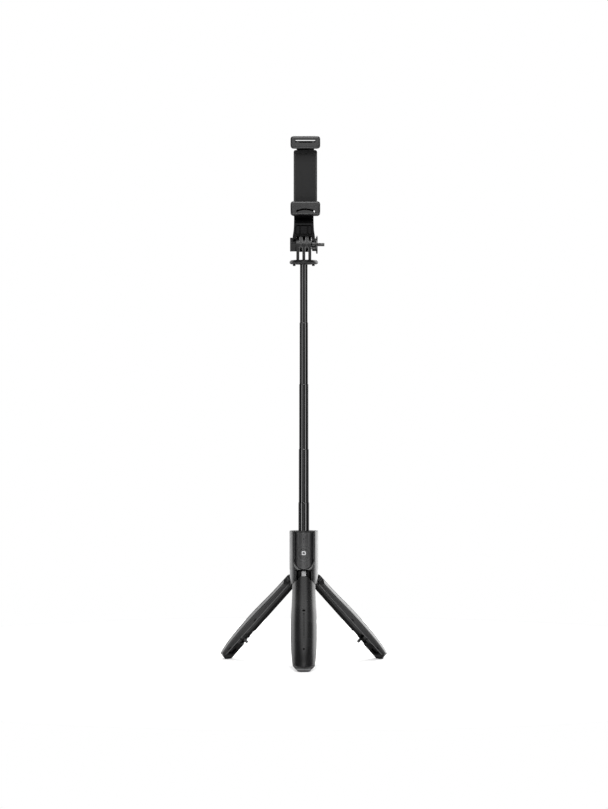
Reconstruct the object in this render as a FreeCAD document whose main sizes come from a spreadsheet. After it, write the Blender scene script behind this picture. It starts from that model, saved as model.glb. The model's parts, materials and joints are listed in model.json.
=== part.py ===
import FreeCAD, Part
import math
import os
import Sketcher

# Selfie stick with a built-in tripod, a phone clamp and a pull-out remote.
# Millimetres.  The pole stands on +Z, the remote faces -Y, +X is to the right,
# and z = 0 is the ground under the three spread legs.

doc = FreeCAD.newDocument("selfie_stick")
sheet = doc.addObject("Spreadsheet::Sheet", "dims")
V = FreeCAD.Vector
FULL = 360
THROUGH = 90


class Size:
    """A length with its value and the sheet formula it comes from."""

    def __init__(self, value, formula):
        self.value = value
        self.formula = formula

    def __add__(self, other):
        return joined(self, " + ", other, self.value + as_size(other).value)

    def __sub__(self, other):
        return joined(self, " - ", other, self.value - as_size(other).value)

    def __mul__(self, other):
        return joined(self, " * ", other, self.value * as_size(other).value)

    def __truediv__(self, other):
        return joined(self, " / ", other, self.value / as_size(other).value)

    def __radd__(self, other):
        return as_size(other) + self

    def __rsub__(self, other):
        return as_size(other) - self

    def __rmul__(self, other):
        return as_size(other) * self

    def __neg__(self):
        return Size(-self.value, "(0 - " + self.formula + ")")


def as_size(length):
    if isinstance(length, Size):
        return length
    return Size(float(length), "(%.6f)" % length)


def joined(first, sign, second, value):
    return Size(value, "(" + first.formula + sign + as_size(second).formula + ")")


rows = []


def size(name, value, note):
    """One driving dimension: a named cell with a note beside it."""
    rows.append(name)
    row = str(len(rows))
    sheet.set("A" + row, name)
    sheet.set("B" + row, str(value))
    sheet.setAlias("B" + row, name)
    sheet.set("C" + row, note)
    return Size(float(value), "dims." + name)


# Handle
grip = size("handle_radius", 14.5, "outer radius of the handle")
low = size("handle_bottom", 81.0, "lower end of the pillars")
top = size("handle_top", 134.5, "top of the handle")
collar = size("collar_height", 2.0, "ring that closes the handle")
recess_half = size("recess_half_width", 9.3, "half width of a hinge recess")
ceiling = size("recess_top", 94.2, "ceiling of the hinge recesses")
skirt = size("skirt_inner_radius", 10.5, "inside of the pillars")
sleeve = size("sleeve_radius", 7.0, "hinge block sleeve round the tube")
sleeve_top = size("sleeve_top", 100.0, "top of the hinge block sleeve")
sleeve_low = size("sleeve_bottom", 84.0, "bottom of the hinge block sleeve")
core_r = size("block_radius", 9.0, "radius of the hinge block between the legs")

# Hinges and legs
pin_z = size("pin_height", 90.2, "height of the leg pins")
pin_n = size("pin_radius", 9.4, "distance of a leg pin from the pole axis")
pin_r = size("pin_half", 1.0, "radius of a leg pin")
splay = size("leg_splay", 45.0, "angle of an open leg, degrees")
lug_out = size("lug_half", 5.5, "outer half width of the two lugs")
lug_in = size("lug_gap_half", 2.5, "half the gap between the lugs")
tongue_half = size("tongue_half", 2.2, "half the thickness of a leg tongue")
tongue_in = size("tongue_inner", 7.2, "inner face of a tongue bar")
tongue_out = size("tongue_outer", 11.4, "outer face of a tongue bar")
tongue_end = size("tongue_length", 21.0, "end of a tongue below its pin")
eye = size("eye_radius", 3.1, "radius of a tongue eye")
channel = size("channel_radius", 6.2, "hollow of a leg for the pole")
seam = size("seam_radius", 9.8, "parting between leg shell and cover")
shoulder = size("leg_shoulder", 9.5, "top of a leg below its pin")
tab_top = size("leg_tab", 6.0, "top of the middle tab below the pin")
leg_end = size("leg_end", 123.0, "end of a leg below its pin")
sole_t = size("sole_thick", 4.5, "thickness of a rubber sole, upright")
hollow_end = size("channel_end", 98.0, "end of the pole hollow in a leg")
core_n = size("wedge_core", 2.0, "inner radius of the solid leg end")
LEG_ANGLE = 118.8

# Pole
wall = size("tube_wall", 0.25, "wall of every tube")
slip = size("tube_slip", 0.15, "radial gap between two tubes")
neck = size("tube_neck", 3.0, "rolled-in mouth of a tube")
tube_f = size("tube_fixed", 11.8, "outside of the tube in the handle")
tube_e = size("tube_one", 11.0, "outside of the widest moving tube")
tube_d = size("tube_two", 10.2, "outside of the second tube")
tube_c = size("tube_three", 9.4, "outside of the third tube")
tube_b = size("tube_four", 8.6, "outside of the fourth tube")
tube_a = size("tube_five", 7.8, "outside of the thinnest tube")
fixed_len = size("fixed_length", 92.0, "length of the fixed tube")

# Swivelling mount
plate_z = size("plate_bottom", 406.6, "underside of the mount plate")
plate_top = size("plate_top", 410.3, "upper side of the mount plate")
plate_r = size("plate_radius", 14.5, "radius of the mount plate")
stud_r = size("stud_radius", 2.5, "radius of the swivel stud")
bump_x = size("bump_offset", 9.8, "distance of a plate bump from the axis")
bump_r = size("bump_radius", 1.4, "radius of a plate bump")
pivot = size("tilt_height", 426.4, "height of the tilt screw")
prong_r = size("prong_radius", 7.5, "round end of every prong")
prong = size("prong_thick", 3.0, "thickness of a lower prong")
stack = size("prong_stack", 15.2, "width over the three lower prongs")
arm_stack = size("arm_stack", 8.8, "width over the two upper prongs")
arm_gap = size("arm_gap", 3.4, "gap between the two upper prongs")
bolt_r = size("bolt_bore", 2.5, "bore for the tilt screw")
bolt = size("bolt_radius", 2.42, "radius of the tilt screw")
boss_x = size("boss_end", 14.0, "left end of the nut boss")
knob_r = size("knob_radius", 9.2, "radius of the knob flange")
knob_in = size("knob_inner", 8.4, "inner side of the knob lobes")
knob_out = size("knob_outer", 14.1, "outer side of the knob flange")
lobe_r = size("lobe_radius", 6.8, "radius over the knob lobes")
flange = size("flange_thick", 1.6, "thickness of the knob flange")
post_x = size("post_end", 21.0, "right end of the knob post")

# Clamp
arm_half = size("arm_half", 10.0, "half width of the clamp arm")
turn_z = size("turn_height", 496.5, "height of the clamp turning axis")
arm_y = size("arm_front", 7.65, "front face of the upright arm")
arm_back = size("arm_back", 12.2, "back face of the upright arm")
jaw_left = size("jaw_left", 13.6, "left side of the jaws from the axis")
jaw_right = size("jaw_right", 16.8, "right side of the jaws from the axis")
jaw_low = size("jaw_low", 456.0, "underside of the lower jaw")
gap_low = size("gap_low", 465.4, "upper face of the lower pad")
gap_high = size("gap_high", 527.6, "lower face of the upper pad")
jaw_high = size("jaw_high", 537.1, "upper side of the upper jaw")
jaw_front = size("jaw_front", 13.0, "front of the jaws from the axis")
lip = size("lip_thick", 2.5, "thickness of a jaw lip")
lip_h = size("lip_height", 4.5, "reach of a jaw lip over the phone")
pad_t = size("pad_thick", 1.2, "thickness of a rubber pad")
back_y = size("housing_back", 7.0, "back of the clamp housing")
front_y = size("housing_front", 0.8, "front of the clamp housing")
house_top = size("housing_top", 523.0, "top of the clamp housing")
slot_l = size("slot_left", 8.15, "left end of the jaw slots")
slot_r = size("slot_right", 11.35, "right end of the jaw slots")
jaw_round = size("jaw_round", 3.8, "corner radius of the jaws")
rivet_r = size("rivet_radius", 2.9, "radius of the turning rivet")

# Remote
rem_half = size("remote_half", 9.2, "half width of the remote")
rem_c = size("remote_arc", 105.2, "centre height of its round lower end")
rem_top = size("remote_top", 133.4, "top of the remote")
rem_back = size("remote_back", 7.6, "back of the remote from the axis")
rem_seam = size("remote_seam", 8.9, "parting of the remote")
rem_gap = size("remote_slip", 0.7, "side clearance of the remote")
press_z = size("press_height", 111.6, "height of the shutter button")
press_r = size("press_radius", 5.0, "radius of the shutter button")

doc.recompute()

pieces = []


class Piece:
    """A PartDesign body with short calls for the features used here."""

    def __init__(self, label):
        self.body = doc.addObject("PartDesign::Body", label)
        self.body.Label = label
        pieces.append(self.body)

    def origin(self, role):
        found = [o for o in self.body.Origin.OriginFeatures if o.Role == role]
        return found[0]

    def sketch(self, role, offset=0):
        """A sketch on an origin plane, moved along the plane's normal."""
        drawn = self.body.newObject("Sketcher::SketchObject", "Sketch")
        drawn.AttachmentSupport = [(self.origin(role), "")]
        drawn.MapMode = "FlatFace"
        drawn.setExpression("AttachmentOffset.Base.z", as_size(offset).formula)
        return drawn

    def outline(self, role, corners, offset=0):
        """A closed outline with every corner tied to the sheet."""
        drawn = self.sketch(role, offset)
        spots = [(as_size(x), as_size(y)) for x, y in corners]
        count = len(spots)
        for i in range(count):
            ahead = spots[(i + 1) % count]
            start = V(spots[i][0].value, spots[i][1].value, 0)
            finish = V(ahead[0].value, ahead[1].value, 0)
            drawn.addGeometry(Part.LineSegment(start, finish), False)
        for i in range(count):
            drawn.addConstraint(Sketcher.Constraint("Coincident", i, 2, (i + 1) % count, 1))
        for i in range(count):
            tie(drawn, i, 1, spots[i])
        return drawn

    def box(self, role, x0, y0, x1, y1, offset=0):
        return self.outline(role, [(x0, y0), (x1, y0), (x1, y1), (x0, y1)], offset)

    def rounds(self, role, centres, radius, offset=0):
        """Circles of one radius about the given centres."""
        drawn = self.sketch(role, offset)
        for i, centre in enumerate(centres):
            spot = (as_size(centre[0]), as_size(centre[1]))
            middle = V(spot[0].value, spot[1].value, 0)
            drawn.addGeometry(Part.Circle(middle, V(0, 0, 1), as_size(radius).value), False)
            tie(drawn, i, 3, spot)
            rule = drawn.addConstraint(Sketcher.Constraint("Radius", i, as_size(radius).value))
            drawn.setExpression("Constraints[%d]" % rule, as_size(radius).formula)
        return drawn

    def feature(self, kind, drawn, length, both, back):
        made = self.body.newObject(kind, kind.split("::")[1])
        made.Profile = drawn
        made.setExpression("Length", as_size(length).formula)
        made.Midplane = both
        made.Reversed = back
        doc.recompute()
        return made

    def pad(self, drawn, length, both=False, back=False):
        return self.feature("PartDesign::Pad", drawn, length, both, back)

    def cut(self, drawn, length, both=False, back=False):
        return self.feature("PartDesign::Pocket", drawn, length, both, back)

    def turn(self, drawn, angle=FULL, cut=False):
        """Turn an outline about the sketch's upright axis, centred on its plane."""
        kind = "PartDesign::Groove" if cut else "PartDesign::Revolution"
        made = self.body.newObject(kind, kind.split("::")[1])
        made.Profile = drawn
        made.ReferenceAxis = (drawn, ["V_Axis"])
        made.Angle = angle
        made.Midplane = angle < FULL
        doc.recompute()
        return made

    def ring(self, features, count=3):
        """Repeat features round the Z axis."""
        made = self.body.newObject("PartDesign::PolarPattern", "PolarPattern")
        made.Originals = features
        made.Axis = (self.origin("Z_Axis"), [""])
        made.Angle = FULL
        made.Occurrences = count
        self.body.Tip = made
        doc.recompute()
        return made

    def fillet(self, radius, spots, axis):
        """Round the straight edges along axis that pass through the given spots."""
        base = self.body.Tip
        names = []
        for i, edge in enumerate(base.Shape.Edges):
            ends = [v.Point for v in edge.Vertexes]
            if len(ends) == 2 and near_line(ends, spots, axis):
                names.append("Edge%d" % (i + 1))
        made = self.body.newObject("PartDesign::Fillet", "Fillet")
        made.Base = (base, names)
        made.setExpression("Radius", as_size(radius).formula)
        doc.recompute()
        return made


def tie(drawn, index, point, spot):
    """Hold one point of a sketch at a spot given by two sizes."""
    for kind, length, axis in (("DistanceX", spot[0], -2), ("DistanceY", spot[1], -1)):
        if abs(length.value) < 1e-9:
            drawn.addConstraint(Sketcher.Constraint("PointOnObject", index, point, axis))
        else:
            rule = Sketcher.Constraint(kind, -1, 1, index, point, length.value)
            placed = drawn.addConstraint(rule)
            drawn.setExpression("Constraints[%d]" % placed, length.formula)


def near_line(ends, spots, axis):
    """True when an edge runs along axis ('x', 'y' or 'z') through one of the spots."""
    others = [a for a in "xyz" if a != axis]
    for spot in spots:
        gaps = [abs(getattr(p, a) - s) for p in ends for a, s in zip(others, spot)]
        if max(gaps) < 0.01:
            return True
    return False


def hexagon(across):
    """Corners of a hexagon with level flats, centred on the tilt axis."""
    reach = across / math.sqrt(3)
    turns = [math.radians(60 * i) for i in range(6)]
    return [(reach * math.cos(a), pivot + reach * math.sin(a)) for a in turns]


# ---------------------------------------------------------------- handle
tube_half = tube_f / 2
handle = Piece("handle_body")
profile = [
    (skirt, low),
    (grip, low),
    (grip, top - collar),
    (tube_half, top - collar),
    (tube_half, sleeve_top),
    (sleeve, sleeve_top),
    (sleeve, ceiling),
    (skirt, ceiling),
]
handle.turn(handle.outline("XZ_Plane", profile))
recess = handle.box("XY_Plane", -recess_half, -grip - 5, recess_half, -sleeve, ceiling)
handle.ring([handle.cut(recess, ceiling - low + 5)])
wide = rem_half + rem_gap
cradle_y = rem_back - 0.05
handle.cut(handle.box("XZ_Plane", -wide, rem_c, wide, top + 5, cradle_y), THROUGH, back=True)
handle.cut(handle.rounds("XZ_Plane", [(0, rem_c)], wide, cradle_y), THROUGH, back=True)
hollow = handle.box("YZ_Plane", sleeve + 0.4, sleeve_top - 1.5, grip - 1.6, top)
handle.turn(hollow, 180, cut=True)
for side in (-1, 1):
    rail = [
        ((rem_half - 0.5) * side, -rem_seam - 0.7),
        ((wide + 0.3) * side, -rem_seam - 0.7),
        ((wide + 0.3) * side, -rem_seam - 1.5),
        ((rem_half - 0.5) * side, -rem_seam - 1.5),
    ]
    handle.pad(handle.outline("XY_Plane", rail, rem_c + 1), top - collar - rem_c - 1)
screw_ring = 12.5
screw_spots = []
for place in (90, 210, 330):
    turned = math.radians(place)
    screw_spots.append((screw_ring * math.cos(turned), screw_ring * math.sin(turned)))
handle.cut(handle.rounds("XY_Plane", screw_spots, 1.3, low), 8, back=True)

screws = Piece("handle_screws")
screws.pad(screws.rounds("XY_Plane", screw_spots, 1.3, low + 0.7), 7.3)

cap = Piece("top_collar")
profile = [
    (tube_half, top - collar),
    (grip, top - collar),
    (grip, top - 0.5),
    (grip - 0.5, top),
    (tube_half, top),
]
cap.turn(cap.outline("XZ_Plane", profile))
cap.cut(cap.box("XY_Plane", -wide, -grip - 5, wide, -cradle_y, top + 1), collar + 2)
cap.cut(cap.rounds("XY_Plane", [(-bump_x, 0), (bump_x, 0)], bump_r + 0.2, top + 1), collar + 2)

block = Piece("hinge_block")
lug = [
    (-4.0, ceiling - 0.1),
    (-pin_n - 2.4, ceiling - 0.1),
    (-pin_n - 3.2, pin_z + 2.6),
    (-pin_n - 3.2, pin_z - 1.2),
    (-pin_n - 1.6, pin_z - 3.2),
    (-4.0, pin_z - 4.7),
]
first = block.pad(block.outline("YZ_Plane", lug), lug_out * 2, both=True)
block.ring([first])
block.turn(block.box("XZ_Plane", tube_half, sleeve_low, sleeve, sleeve_top))
block.turn(block.box("XZ_Plane", tube_half, sleeve_low, core_r, ceiling - 0.1))
gap = block.box("YZ_Plane", -30, low - 5, -5.0, ceiling - 0.05)
block.ring([block.cut(gap, lug_in * 2, both=True)])
bore = block.rounds("YZ_Plane", [(-pin_n, pin_z)], pin_r)
block.ring([block.cut(bore, 30, both=True)])
block.cut(block.rounds("XY_Plane", [(0, 0)], tube_half, low - 5), THROUGH, back=True)

pins = Piece("hinge_pins")
pins.ring([pins.pad(pins.rounds("YZ_Plane", [(-pin_n, pin_z)], pin_r), lug_out * 2, both=True)])


# ---------------------------------------------------------------- pole
def tube(label, outside, top_z, length, inside_next):
    """One drawn tube with its mouth rolled in round the next tube."""
    outer = outside / 2
    inner = outer - wall
    mouth = inner if inside_next is None else inside_next / 2 + 0.05
    foot_z = top_z - length
    made = Piece(label)
    profile = [
        (outer, foot_z),
        (outer, top_z - 0.3),
        (outer - 0.1, top_z),
        (mouth, top_z),
        (mouth, top_z - neck),
        (inner, top_z - neck - 0.4),
        (inner, foot_z),
    ]
    made.turn(made.outline("XZ_Plane", profile))
    return made


def guide(label, outside, foot_z, bore_r, thick, reach):
    """The plug at the lower end of a tube, guided in the next wider one."""
    inner = outside / 2 - wall
    made = Piece(label)
    profile = [
        (0, foot_z - thick),
        (bore_r, foot_z - thick),
        (bore_r, foot_z),
        (inner, foot_z),
        (inner, foot_z + reach),
        (0, foot_z + reach),
    ]
    made.turn(made.outline("XZ_Plane", profile))


rest_tops = [
    size("tube_one_top", 163.4, "top of the first tube as it stands"),
    size("tube_two_top", 217.7, "top of the second tube as it stands"),
    size("tube_three_top", 284.0, "top of the third tube as it stands"),
    size("tube_four_top", 346.8, "top of the fourth tube as it stands"),
    plate_z - 0.2,
]
lengths = [
    size("tube_one_length", 88.9, "length of the first tube"),
    size("tube_two_length", 85.6, "length of the second tube"),
    size("tube_three_length", 82.2, "length of the third tube"),
    size("tube_four_length", 78.9, "length of the fourth tube"),
    size("tube_five_length", 75.8, "length of the fifth tube"),
]
doc.recompute()
tubes = [tube_e, tube_d, tube_c, tube_b, tube_a, None]
tube("outer_tube", tube_f, top, fixed_len, tube_e)
guide("outer_tube_plug", tube_f, top - fixed_len, tube_half, 2.0, 1.2)
for i in range(5):
    tube("tube_%d" % (i + 1), tubes[i], rest_tops[i], lengths[i], tubes[i + 1])
    bore_r = tubes[i] / 2 + slip - 0.05
    guide("tube_%d_guide" % (i + 1), tubes[i], rest_tops[i] - lengths[i], bore_r, 0.8, 2.0)

plug = Piece("pole_top_plug")
plug_r = tube_a / 2 - wall
plug_box = (stud_r + 0.1, plate_z - 10.2, plug_r, plate_z - 0.2)
plug.turn(plug.box("XZ_Plane", *plug_box))


# ---------------------------------------------------------------- legs
def place_leg(piece, side):
    """Open a leg by the splay about its pin, then turn it to its place."""
    away = math.radians(side)
    piece.body.Placement = FreeCAD.Placement(V(0, 0, 0), FreeCAD.Rotation(side, 0, -splay.value))
    shift = "dims.pin_radius * (1 - cos(dims.leg_splay * 1deg))"
    piece.body.setExpression("Placement.Base.x", "%s * (%.9f)" % (shift, math.sin(away)))
    piece.body.setExpression("Placement.Base.y", "%s * (%.9f)" % (shift, -math.cos(away)))
    rise = "dims.pin_height - dims.pin_radius * sin(dims.leg_splay * 1deg)"
    piece.body.setExpression("Placement.Base.z", rise)


def side_view(corners):
    """Corners given as (distance from the axis, distance below the pin)."""
    return [(-as_size(n), -as_size(u)) for n, u in corners]


belly = [
    (14.35, 22.0),
    (14.8, 38.0),
    (15.4, 48.0),
    (15.8, 58.0),
    (16.0, 69.0),
    (16.0, 79.0),
    (15.8, 89.0),
    (15.4, 99.0),
    (14.8, 107.0),
    (13.9, 114.5),
    (13.1, 119.3),
]
SLOT_DEPTH = 14.9
PEG = (1.5, 89.8, 92.2, 7.4)


def chamfer(piece):
    """Cut the two corners off the end of a leg."""
    for hand in (-1, 1):
        corner = [(6.2 * hand, -leg_end), (13.6 * hand, -leg_end + 13), (20 * hand, -leg_end + 13)]
        corner += [(20 * hand, -leg_end - 3), (6.2 * hand, -leg_end - 3)]
        piece.cut(piece.outline("XZ_Plane", corner), THROUGH, both=True)


def leg(name, side):
    shell = Piece("leg_%s_shell" % name)
    profile = [(seam, shoulder), (14.35, shoulder)] + belly + [(12.2, leg_end), (seam, leg_end)]
    shell.turn(shell.outline("YZ_Plane", side_view(profile)), LEG_ANGLE)
    tab = [(seam, tab_top), (14.35, tab_top), (14.35, shoulder + 0.2), (seam, shoulder + 0.2)]
    shell.turn(shell.outline("YZ_Plane", side_view(tab)), 46)
    inside = [(seam, 30), (12.8, 30), (14.0, 58), (14.0, 80), (13.8, 86), (seam, 86)]
    shell.turn(shell.outline("YZ_Plane", side_view(inside)), 98, cut=True)
    pocket = [(seam - 1, 4), (tongue_out, 4), (tongue_out, tongue_end), (seam - 1, tongue_end)]
    shell.cut(shell.outline("YZ_Plane", side_view(pocket)), tongue_half * 2, both=True)
    groove = [(SLOT_DEPTH, 57.3), (19, 57.3), (19, 103.5), (SLOT_DEPTH, 103.5)]
    shell.cut(shell.outline("YZ_Plane", side_view(groove)), 1.4, both=True)
    dots = shell.rounds("XZ_Plane", [(0, -53.8), (0, -105.2)], 1.1, 14.3)
    shell.cut(dots, 10, back=True)
    holes = shell.rounds("XZ_Plane", [(0, -25.5), (0, -88.0)], 1.2, 5)
    shell.cut(holes, 7.5, back=True)
    chamfer(shell)
    place_leg(shell, side)

    cover = Piece("leg_%s_cover" % name)
    profile = [
        (channel, shoulder),
        (seam, shoulder),
        (seam, leg_end),
        (core_n, leg_end),
        (core_n, hollow_end),
        (channel, hollow_end),
    ]
    cover.turn(cover.outline("YZ_Plane", side_view(profile)), LEG_ANGLE)
    inside = [(channel + 1.4, 30), (seam + 1, 30), (seam + 1, 86), (channel + 1.4, 86)]
    cover.turn(cover.outline("YZ_Plane", side_view(inside)), 98, cut=True)
    pocket = [(tongue_in, 4), (seam + 1, 4), (seam + 1, tongue_end), (tongue_in, tongue_end)]
    cover.cut(cover.outline("YZ_Plane", side_view(pocket)), tongue_half * 2, both=True)
    socket = [(3, PEG[1]), (PEG[3], PEG[1]), (PEG[3], PEG[2]), (3, PEG[2])]
    cover.cut(cover.outline("YZ_Plane", side_view(socket), PEG[0]), 2.0, back=True)
    holes = cover.rounds("XZ_Plane", [(0, -25.5), (0, -88.0)], 1.2, 4)
    cover.cut(holes, 10, back=True)
    sole = pin_z / math.cos(math.radians(splay.value)) - pin_n
    part = sole - sole_t * math.sqrt(2)
    cover.cut(cover.outline("YZ_Plane", side_view([(-4, part - 4), (14, part + 14), (-4, part + 14)])),
              60, both=True)
    chamfer(cover)
    place_leg(cover, side)

    tongue = Piece("leg_%s_tongue" % name)
    bar = [(tongue_in, 0), (tongue_out, 0), (tongue_out, tongue_end), (tongue_in, tongue_end)]
    tongue.pad(tongue.outline("YZ_Plane", side_view(bar)), tongue_half * 2, both=True)
    tongue.pad(tongue.rounds("YZ_Plane", [(-pin_n, 0)], eye), tongue_half * 2, both=True)
    tongue.cut(tongue.rounds("YZ_Plane", [(-pin_n, 0)], pin_r + 0.06), 10, both=True)
    place_leg(tongue, side)

    foot = Piece("leg_%s_foot" % name)
    profile = [
        (core_n - 0.4, part - 10),
        (seam, part - 10),
        (seam, leg_end),
        (core_n - 0.4, leg_end),
    ]
    foot.turn(foot.outline("YZ_Plane", side_view(profile)), LEG_ANGLE)
    above = [(-4, part - 4), (14, part + 14), (14, part - 30), (-4, part - 30)]
    foot.cut(foot.outline("YZ_Plane", side_view(above)), 60, both=True)
    under = [(-4, sole - 4), (14, sole + 14), (-4, sole + 14)]
    foot.cut(foot.outline("YZ_Plane", side_view(under)), 60, both=True)
    chamfer(foot)
    place_leg(foot, side)

    peg = Piece("leg_%s_peg" % name)
    bar = [(-2, PEG[1]), (PEG[3], PEG[1]), (PEG[3], PEG[2]), (-2, PEG[2])]
    peg.pad(peg.outline("YZ_Plane", side_view(bar), PEG[0]), 2.0)
    place_leg(peg, side)

    bolts = Piece("leg_%s_screws" % name)
    bolts.pad(bolts.rounds("XZ_Plane", [(0, -25.5), (0, -88.0)], 1.2, 6.6), 5.9)
    place_leg(bolts, side)


for name, side in (("front", 0), ("right", 120), ("left", -120)):
    leg(name, side)

# ---------------------------------------------------------------- swivelling mount
base = Piece("mount_base")
profile = [
    (0, plate_z + 1.6),
    (stud_r, plate_z + 1.6),
    (stud_r, plate_z),
    (plate_r - 0.9, plate_z),
    (plate_r, plate_z + 1.0),
    (plate_r, plate_top - 1.4),
    (plate_r - 1.3, plate_top),
    (0, plate_top),
]
base.turn(base.outline("XZ_Plane", profile))
base.pad(base.rounds("XY_Plane", [(-bump_x, 0), (bump_x, 0)], bump_r, plate_z), 2.0, back=True)
base.pad(base.box("YZ_Plane", -prong_r, plate_top - 0.5, prong_r, pivot), stack, both=True)
base.pad(base.rounds("YZ_Plane", [(0, pivot)], prong_r), stack, both=True)
base.pad(base.outline("YZ_Plane", hexagon(13.6), -boss_x), boss_x - stack / 2 + 0.5)
room = stack / 2 - prong * 1.5
slit = (-prong_r - 2, plate_top, prong_r + 2, pivot + prong_r + 2)
base.cut(base.box("YZ_Plane", *slit, prong / 2), room, back=True)
base.cut(base.box("YZ_Plane", *slit, -prong / 2 - room), room, back=True)
base.cut(base.rounds("YZ_Plane", [(0, pivot)], bolt_r), 60, both=True)
base.cut(base.outline("YZ_Plane", hexagon(8.1), -boss_x), 5.0, back=True)

stud = Piece("swivel_stud")
profile = [
    (0, plate_z - 12.2),
    (plug_r - 0.35, plate_z - 12.2),
    (plug_r - 0.35, plate_z - 10.4),
    (stud_r, plate_z - 10.4),
    (stud_r, plate_z + 1.6),
    (0, plate_z + 1.6),
]
stud.turn(stud.outline("XZ_Plane", profile))

nut = Piece("captive_nut")
nut.pad(nut.outline("YZ_Plane", hexagon(8.0), -boss_x + 0.5), 4.4)
nut.cut(nut.rounds("YZ_Plane", [(0, pivot)], bolt_r), 60, both=True)

knob = Piece("thumb_knob")
knob.pad(knob.rounds("YZ_Plane", [(0, pivot)], 5.0, stack / 2 + 0.2), knob_in - stack / 2)
knob.pad(knob.rounds("YZ_Plane", [(0, pivot)], lobe_r, knob_in), knob_out - knob_in)
knob.pad(knob.rounds("YZ_Plane", [(0, pivot)], 1.7, knob_out - 0.5), post_x - knob_out + 0.5)
hollows = []
for step in range(6):
    turned = math.radians(30 + 60 * step)
    hollows.append((lobe_r * 1.22 * math.cos(turned), pivot + lobe_r * 1.22 * math.sin(turned)))
knob.cut(knob.rounds("YZ_Plane", hollows, 2.5, knob_in - 1), knob_out - flange - knob_in + 1, back=True)
knob.pad(knob.rounds("YZ_Plane", [(0, pivot)], knob_r, knob_out - flange), flange)
knob.cut(knob.rounds("YZ_Plane", [(0, pivot)], bolt, 0), 12, back=True)

screw = Piece("hinge_screw")
screw.pad(screw.rounds("YZ_Plane", [(0, pivot)], bolt, -boss_x + 0.6), boss_x + 11.4)

# ---------------------------------------------------------------- clamp arm
arm = Piece("clamp_arm")
arm.pad(arm.rounds("YZ_Plane", [(0, pivot)], prong_r), arm_stack, both=True)
arm.pad(arm.box("YZ_Plane", -6.5, pivot, 6.5, pivot + 9), arm_stack, both=True)
side_shape = [
    (-6.5, pivot + 7.65),
    (-6.5, jaw_low - 11.5),
    (2.0, jaw_low - 3.4),
    (arm_y, jaw_low - 2.4),
    (arm_y, turn_z),
    (arm_back, turn_z),
    (arm_back, jaw_low - 6),
    (6.5, jaw_low - 16),
    (6.5, pivot + 7.65),
]
arm.pad(arm.outline("YZ_Plane", side_shape), arm_half * 2, both=True)
tip = arm.rounds("XZ_Plane", [(0, turn_z)], arm_half, -arm_y)
arm.pad(tip, arm_back - arm_y, back=True)
root = [(0, pivot)]
arm.cut(arm.rounds("YZ_Plane", root, prong_r + 0.8), arm_gap, both=True)
arm.cut(arm.box("YZ_Plane", -prong_r - 1, pivot, prong_r + 1, pivot + 7.65), arm_gap, both=True)
arm.cut(arm.rounds("YZ_Plane", root, prong_r + 0.8, arm_stack / 2), 20, back=True)
arm.cut(arm.rounds("YZ_Plane", root, prong_r + 0.8, -arm_stack / 2), 20)
arm.cut(arm.rounds("YZ_Plane", [(0, pivot)], bolt_r), 60, both=True)
arm.cut(arm.rounds("XZ_Plane", [(0, turn_z)], rivet_r + 0.1), 60, both=True)
arch = arm.box("XZ_Plane", -8.0, pivot + 10.0, 8.0, jaw_low - 12.5, 6.5)
arm.cut(arch, 2.5)

# ---------------------------------------------------------------- clamp
left = -jaw_left
right = jaw_right
clamp = Piece("clamp_body")
clamp.pad(clamp.box("XZ_Plane", left + 3.2, gap_low - 2.6, right - 3.2, house_top, -front_y),
          back_y - front_y, back=True)
clamp.pad(clamp.box("XZ_Plane", left, jaw_low, right, gap_low - pad_t, jaw_front),
          jaw_front + back_y, back=True)
clamp.pad(clamp.box("XZ_Plane", left, jaw_low, right, gap_low + lip_h, jaw_front), lip, back=True)
clamp.fillet(jaw_round, [(left.value, jaw_low.value), (right.value, jaw_low.value)], "y")
lip_top = gap_low + lip_h
clamp.fillet(jaw_round, [(left.value, lip_top.value), (right.value, lip_top.value)], "y")
clamp.fillet(2.5, [(left.value + 3.2, house_top.value), (right.value - 3.2, house_top.value)], "y")
clamp.cut(clamp.box("XZ_Plane", -slot_l, jaw_low + 3.6, slot_r, gap_low - 2.8), THROUGH, both=True)
track = (-slot_l + 0.55, gap_low + 4.6, slot_r - 0.55, house_top + 5)
clamp.cut(clamp.box("XZ_Plane", *track, -2.9), THROUGH)
seat = (-slot_l - 1.25, gap_low + 1.1, slot_r + 1.25, house_top + 5)
clamp.cut(clamp.box("XZ_Plane", *seat, -back_y + 1.3), THROUGH)
cover_x = [-slot_l - 0.45, slot_r + 0.45]
cover_z = [gap_low + 2.9, house_top - 2]
spots = [(x, z) for x in cover_x for z in cover_z]
clamp.cut(clamp.rounds("XZ_Plane", spots, 0.7, -back_y + 3.5), THROUGH)

cover = Piece("clamp_back_cover")
cover.pad(cover.box("XZ_Plane", seat[0], seat[1], seat[2], house_top, -back_y), 1.3)
cover.cut(cover.rounds("XZ_Plane", [(0, turn_z)], rivet_r), THROUGH, both=True)
cover.cut(cover.rounds("XZ_Plane", [(0, turn_z)], 5.2, -back_y + 1.3), 0.7)
cover.cut(cover.rounds("XZ_Plane", spots, 0.7), THROUGH, both=True)

bolts = Piece("clamp_screws")
bolts.pad(bolts.rounds("XZ_Plane", spots, 0.7, -back_y), 3.4)

rivet = Piece("turn_rivet")
rivet.pad(rivet.rounds("XZ_Plane", [(0, turn_z)], 5.1, -back_y + 0.6), 0.6)
rivet.pad(rivet.rounds("XZ_Plane", [(0, turn_z)], rivet_r, -back_y + 0.8), 6.2, back=True)
rivet.pad(rivet.rounds("XZ_Plane", [(0, turn_z)], 5.0, -arm_back - 0.1), 1.5, back=True)

washer = Piece("turn_washer")
washer.pad(washer.rounds("XZ_Plane", [(0, turn_z)], 8.0, -back_y), 0.6, back=True)
washer.cut(washer.rounds("XZ_Plane", [(0, turn_z)], rivet_r), THROUGH, both=True)

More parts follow.
